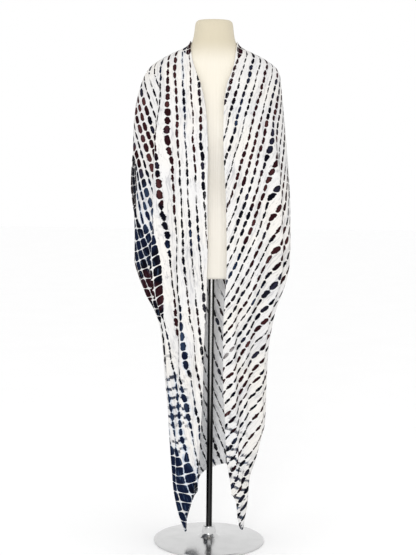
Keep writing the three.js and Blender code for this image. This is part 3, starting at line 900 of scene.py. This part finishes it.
def dye_pattern(paint):
    """Rows of dyed beads bound off by thread: colour and strength of the dye at each point of the cloth,
    and painted shade along the puckers.
    """
    add, sub, mul, madd = paint.add, paint.sub, paint.mul, paint.madd
    ease, between, tint = paint.ease, paint.between, paint.tint
    cloud, scatter, vector = paint.cloud, paint.scatter, paint.vector
    main = paint.split(paint.attribute("dye_main")["Vector"])
    wing = paint.split(paint.attribute("dye_wing")["Vector"])
    net, bands, sparse = paint.split(paint.attribute("dye_zone")["Vector"])
    brown, blue, edge_mm = paint.split(paint.attribute("dye_tint")["Vector"])
    bold = wing[2]
    on_wing = paint.math("GREATER_THAN", main[2], 0.0)
    row = between(on_wing, main[0], wing[0])
    run = between(on_wing, main[1], wing[1])
    calm = paint.math("MAXIMUM", net, bands)
    free = sub(1.0, calm)

    sway = sub(cloud(row, run, 0.55, 0.30, 3.1), 0.5)
    row = madd(sway, DYE["row_sway"], row)
    sway = sub(cloud(row, run, 0.40, 0.28, 9.7), 0.5)
    run = madd(sway, DYE["bead_sway"], run)
    row_id = paint.math("FLOOR", row)
    row_seed = scatter(vector(row_id, 0.5, 0.5))["Value"]
    run = madd(row_seed, free, run)
    bead_id = paint.math("FLOOR", run)
    along = paint.math("ABSOLUTE", sub(sub(run, bead_id), 0.5))
    seeds = paint.split(scatter(vector(row_id, bead_id, 2.5))["Color"])
    offset = sub(scatter(vector(row_id, bead_id, 6.5))["Value"], 0.5)
    offset = madd(mul(offset, free), DYE["astray"], sub(sub(row, row_id), 0.5))
    across = paint.math("ABSOLUTE", offset)

    lane = mul(row_id, 7.31)
    slow_width = paint.noise(vector(lane, mul(run, 0.17), 0.0))
    slow_tint = paint.noise(vector(add(lane, 40.0), mul(run, 0.20), 5.0))
    slow_fade = paint.noise(vector(add(lane, 80.0), mul(run, 0.13), 11.0))

    thick = ease(slow_width, 0.36, 0.68)
    bolder = paint.math("MAXIMUM", bold, 0.0)
    thick = add(bold, mul(thick, sub(1.0, mul(bolder, 0.5))))
    thick = madd(sub(seeds[0], 0.5), 0.35, thick)
    half = madd(paint.math("MAXIMUM", thick, 0.0), DYE["wider"], DYE["thin"])
    netted = ease(net, 0.30, 0.62)
    half = between(netted, half, DYE["netted"])
    gap = madd(mul(seeds[1], free), DYE["wider_gap"], DYE["gap"])
    reach = paint.math("DIVIDE", mul(along, 2.0), sub(1.0, gap))
    reach = paint.math("MINIMUM", reach, 1.0)
    power = madd(seeds[2], 1.6, madd(ease(half, 0.16, 0.28), 1.4, 1.3))
    power = between(netted, power, 7.0)
    profile = paint.math("SQRT", sub(1.0, paint.math("POWER", reach, power)))
    rim_mm = mul(sub(mul(half, profile), across), DYE["row_mm"])
    ragged = sub(cloud(row, run, 5.0, 4.6, 1.7, 2.5), 0.5)
    rim_mm = madd(ragged, between(netted, DYE["ragged_mm"], DYE["net_ragged_mm"]), rim_mm)
    bead = ease(rim_mm, -0.5, 0.6)
    shown = madd(bold, 0.18, slow_fade)
    shown = madd(sparse, -0.22, shown)
    shown = madd(netted, 0.3, shown)
    shown = ease(shown, 0.29, 0.37)
    bead = mul(bead, shown)

    # Bars of blue across the rows, through the middle of some beads
    crossing = ease(add(along, mul(ragged, 0.12)), 0.20, 0.11)
    picked = ease(scatter(vector(bead_id, 3.5, 1.5))["Value"], 0.12, 0.16)
    patchy = ease(cloud(row, run, 2.1, 0.8, 23.0, 2.0), 0.36, 0.52)
    barred = mul(mul(crossing, picked), mul(patchy, ease(bands, 0.15, 0.5)))

    # Faint flecks between the rows, where dye crept under the binding
    fleck = cloud(row, run, 9.0, 1.8, 41.0, 2.0)
    crept = cloud(row, run, 0.8, 0.5, 47.0)
    fleck = mul(ease(fleck, 0.58, 0.68), ease(crept, 0.42, 0.60))

    # Painted shade: soft grey lines along the small puckers that run along the rows, and faint grey patches
    pucker = cloud(row, run, 2.6, 0.30, 53.0, 3.0)
    line = ease(paint.math("ABSOLUTE", sub(pucker, 0.5)), 0.045, 0.0)
    shade_patches = ease(cloud(row, run, 0.9, 0.14, 61.0), 0.44, 0.66)
    shade = madd(line, madd(shade_patches, 0.5, 0.35), mul(shade_patches, 0.16))

    # Colour: dark at the bound edge, lighter inside a wide bead
    hue = madd(blue, -DYE["blue"], madd(brown, DYE["brown"], slow_tint))
    browned = ease(hue, 0.54, 0.64)
    blued = ease(hue, 0.42, 0.32)
    wide = ease(half, 0.15, 0.26)
    heart = mul(mul(ease(rim_mm, 0.9, 3.4), wide), ease(seeds[1], 0.35, 0.9))
    streak = cloud(row, run, 7.0, 0.8, 31.0, 2.0)
    deep = tint(browned, NAVY, BROWN)
    deep = tint(blued, deep, INDIGO)
    pale = tint(browned, SLATE, BROWN_LIGHT)
    pale = tint(blued, pale, INDIGO_LIGHT)
    colour = tint(mul(heart, between(netted, 0.34, 0.0)), deep, pale)
    washed = mul(ease(streak, 0.54, 0.74), between(netted, mul(blued, 0.3), 0.5))
    colour = tint(washed, colour, tint(browned, INDIGO_LIGHT, MAUVE))
    halo = mul(ease(rim_mm, -5.0, -0.2), mul(ease(blue, 0.15, 0.9), patchy))
    return {
        "bead": bead,
        "colour": colour,
        "barred": barred,
        "fleck": fleck,
        "shade": shade,
        "halo": mul(halo, shown),
        "row": row,
        "run": run,
        "edge_mm": edge_mm,
        "streak": streak,
    }


def coat_cloth():
    paint = Paint("coat_cloth")
    mul, ease, tint = paint.mul, paint.ease, paint.tint
    dye = dye_pattern(paint)
    place = paint.place()
    inside = paint.attribute("inside")["Fac"]
    clouds = ease(paint.noise(place, 9.0, 2.0), 0.35, 0.65)
    ground = tint(clouds, GROUND_WARM, GROUND_COOL)
    # Painted light: a lighter ground on the inner side
    ground = tint(inside, ground, GROUND_INSIDE_PAINTED_LIGHT)
    # The halo and the flecks are dye; the shade is painted shade along the puckers
    for part, strength, tone in (("halo", 0.7, WATER), ("fleck", 0.42, SLATE), ("shade", 0.75, PAINTED_SHADE)):
        ground = tint(mul(dye[part], strength), ground, tone)
    bar = tint(ease(dye["streak"], 0.50, 0.75), INDIGO, INDIGO_LIGHT)
    dyed = tint(mul(dye["barred"], 0.95), ground, bar)
    dyed = tint(mul(dye["bead"], paint.between(inside, 1.0, 0.98)), dyed, dye["colour"])
    paint.set("Base Color", dyed)
    paint.set("Roughness", 0.9)
    paint.set("Specular IOR Level", 0.01)
    # Painted glow on the inner side, standing in for daylight through the thin crepe
    paint.set("Emission Color", tint(inside, (0, 0, 0, 1), dyed))
    paint.set("Emission Strength", PAINTED_THROUGH_GLOW)
    pleats = paint.cloud(dye["row"], dye["run"], 1.7, 0.22, 2.0, 4.0)
    weave = paint.noise(place, 1400.0, 1.0)
    fold_line = ease(paint.math("ABSOLUTE", paint.sub(dye["edge_mm"], HEM_WIDTH)), 0.0, 1.2)
    normal = paint.bump(weave, 0.00025, 0.5)
    normal = paint.bump(pleats, 0.007, 0.8, normal)
    normal = paint.bump(fold_line, 0.0004, 0.6, normal)
    paint.set("Normal", normal)
    return paint.material


def thread_finish():
    paint = Paint("thread_finish")
    twist = paint.noise(paint.place(), 2600.0, 1.0)
    paint.set("Base Color", paint.tint(twist, srgb(206, 204, 204), srgb(238, 236, 232)))
    paint.set("Roughness", 0.6)
    paint.set("Normal", paint.bump(twist, 0.0001))
    return paint.material


def form_jersey():
    """Cream jersey: fine upright wales with courses across them."""
    paint = Paint("form_jersey")
    x, y, z = paint.split(paint.place())
    turn = paint.math("ARCTAN2", y, x)
    wales = paint.math("SINE", paint.mul(turn, 300.0))
    courses = paint.math("SINE", paint.mul(z, 3000.0))
    streaks = paint.noise(paint.vector(paint.mul(turn, 40.0), 0.5, paint.mul(z, 2.0)), 1.0, 3.0)
    clouds = paint.noise(paint.place(), 6.0, 2.0)
    cream = paint.tint(paint.ease(streaks, 0.3, 0.7), srgb(238, 233, 223), srgb(247, 243, 235))
    cream = paint.tint(paint.mul(paint.ease(clouds, 0.35, 0.7), 0.35), cream, srgb(238, 231, 218))
    # Painted shade over the lower torso and the chest, and the jersey's tan at the neck
    for low, high, strength, tone in JERSEY_TAN_AND_PAINTED_SHADE:
        cream = paint.tint(paint.mul(paint.ease(z, low, high), strength), cream, tone)
    paint.set("Base Color", cream)
    paint.set("Roughness", 0.88)
    paint.set("Specular IOR Level", 0.2)
    paint.set("Sheen Weight", 0.15)
    knit = paint.madd(wales, 0.35, paint.mul(courses, 0.15))
    normal = paint.bump(knit, 0.0003, 0.7)
    paint.set("Normal", paint.bump(streaks, 0.0008, 0.5, normal))
    return paint.material


def chrome_finish(name, tone, painted_reflection):
    """Plated steel with faint draw lines and a few smudges.

    The pole's base colour carries a painted reflection of the dark hollow that it stands in: bright stripes
    at its front and back, dark at its sides and darker towards the bottom.
    """
    paint = Paint(name)
    x, y, z = paint.split(paint.place())
    smudges = paint.noise(paint.place(), 24.0, 3.0)
    drawn = paint.vector(paint.mul(x, 900.0), paint.mul(y, 900.0), paint.mul(z, 12.0))
    lines = paint.noise(drawn, 1.0, 2.0)
    plate = paint.tint(paint.ease(smudges, 0.4, 0.7), tone, tuple(0.96 * v for v in tone[:3]) + (1,))
    # Painted reflection: bright stripes at the front and back, dark sides, darker towards the bottom
    if painted_reflection:
        turn = paint.mul(paint.add(paint.math("ARCTAN2", y, x), math.pi / 2), 2.0)
        reflection_brightness = paint.ease(paint.math("COSINE", turn), 0.35, 0.95)
        reflection_brightness = paint.mul(reflection_brightness, paint.between(paint.ease(z, 0.30, 0.66), 0.03, 1.0))
        plate = paint.tint(reflection_brightness, PAINTED_DARK_REFLECTION, plate)
    paint.set("Base Color", plate)
    paint.set("Metallic", 1.0)
    paint.set("Roughness", paint.madd(paint.ease(smudges, 0.45, 0.7), 0.05, 0.16))
    paint.set("Normal", paint.bump(lines, 0.00006, 0.5))
    return paint.material


def floor_finish():
    paint = Paint("floor_finish")
    mottle = paint.noise(paint.place(), 3.0, 3.0)
    paint.set("Base Color", paint.tint(mottle, srgb(255, 255, 255), srgb(252, 252, 252)))
    paint.set("Roughness", 0.9)
    return paint.material


def dress(piece, material, slot, *nodes):
    piece.data.materials.clear()
    piece.data.materials.append(material)
    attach(piece, "root")
    if nodes:
        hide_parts(*nodes)


def build_coat():
    cloth, thread = coat_cloth(), thread_finish()
    panels = (
        ("coat_front_right", "right", FRONT_COLUMNS, "front_right", (0.29, 1.46), 0.33),
        ("coat_front_left", "left", FRONT_COLUMNS, "front_left", (0.29, 1.45), 0.32),
        ("coat_back", "back", BACK_COLUMNS, "back", (0.66, 1.46), 0.74),
    )
    for name, panel, columns, node, flat, area in panels:
        piece, hung, normals = coat_panel(name, panel, columns)
        dress(piece, cloth, "coat_cloth", node)
        stitches = stitch_mesh(f"{name}_stitches", stitch_lines(panel, hung, normals))
        dress(stitches, thread, "coat_cloth")


def build_stand():
    dress(form_trunk(), form_jersey(), "form_jersey", "form_torso")
    for make, name, tone, painted_reflection, node in (
        (pole_tube, "pole_chrome", POLE_TONE, True, "stand_pole"),
        (base_plate, "base_chrome", BASE_TONE, False, "stand_base"),
    ):
        dress(make(), chrome_finish(name, tone, painted_reflection), "stand_chrome", node)


# The photograph's view: a level camera with a slight roll, whose lens is shifted down to frame the whole
# object
CAMERA = {
    "away": 3.55, "height": 1.10, "side": -0.0138, "roll": -0.6, "middle_z": 0.7875, "pixel": 0.003,
    "width": 416, "clip": 50,
}


def add_camera():
    data = bpy.data.cameras.new("photo_view")
    camera = add_object("photo_view", data)
    camera.location = (CAMERA["side"], -CAMERA["away"], CAMERA["height"])
    camera.rotation_euler = (math.radians(90), math.radians(CAMERA["roll"]), 0)
    frame_width = CAMERA["pixel"] * CAMERA["width"]
    data.sensor_fit = "HORIZONTAL"
    data.lens = data.sensor_width * CAMERA["away"] / frame_width
    data.shift_y = (CAMERA["middle_z"] - CAMERA["height"]) / frame_width
    data.clip_end = CAMERA["clip"]
    bpy.context.scene.camera = camera


def add_area(name, place, aim, size, power):
    data = bpy.data.lights.new(name, "AREA")
    data.shape = "DISK"
    data.size = size
    data.energy = power
    lamp = add_object(name, data)
    lamp.location = place
    lamp.rotation_euler = (Vector(aim) - Vector(place)).to_track_quat("-Z", "Y").to_euler()


def add_studio():
    scene = bpy.context.scene
    scene.view_settings.view_transform = "Standard"
    world = bpy.data.worlds.new("studio")
    world.use_nodes = True
    sky = world.node_tree.nodes["Background"].inputs
    sky["Color"].default_value = (1, 1, 1, 1)
    sky["Strength"].default_value = 1.0
    scene.world = world
    bpy.ops.mesh.primitive_plane_add(size=40, location=(0, 0, -0.0005))
    floor = bpy.context.object
    floor.name = "floor"
    floor.data.materials.append(floor_finish())
    add_area("key", place=(-0.35, -3.5, 1.45), aim=(0, 0, 0.8), size=0.8, power=30)


build_coat()
build_stand()
add_camera()
add_studio()
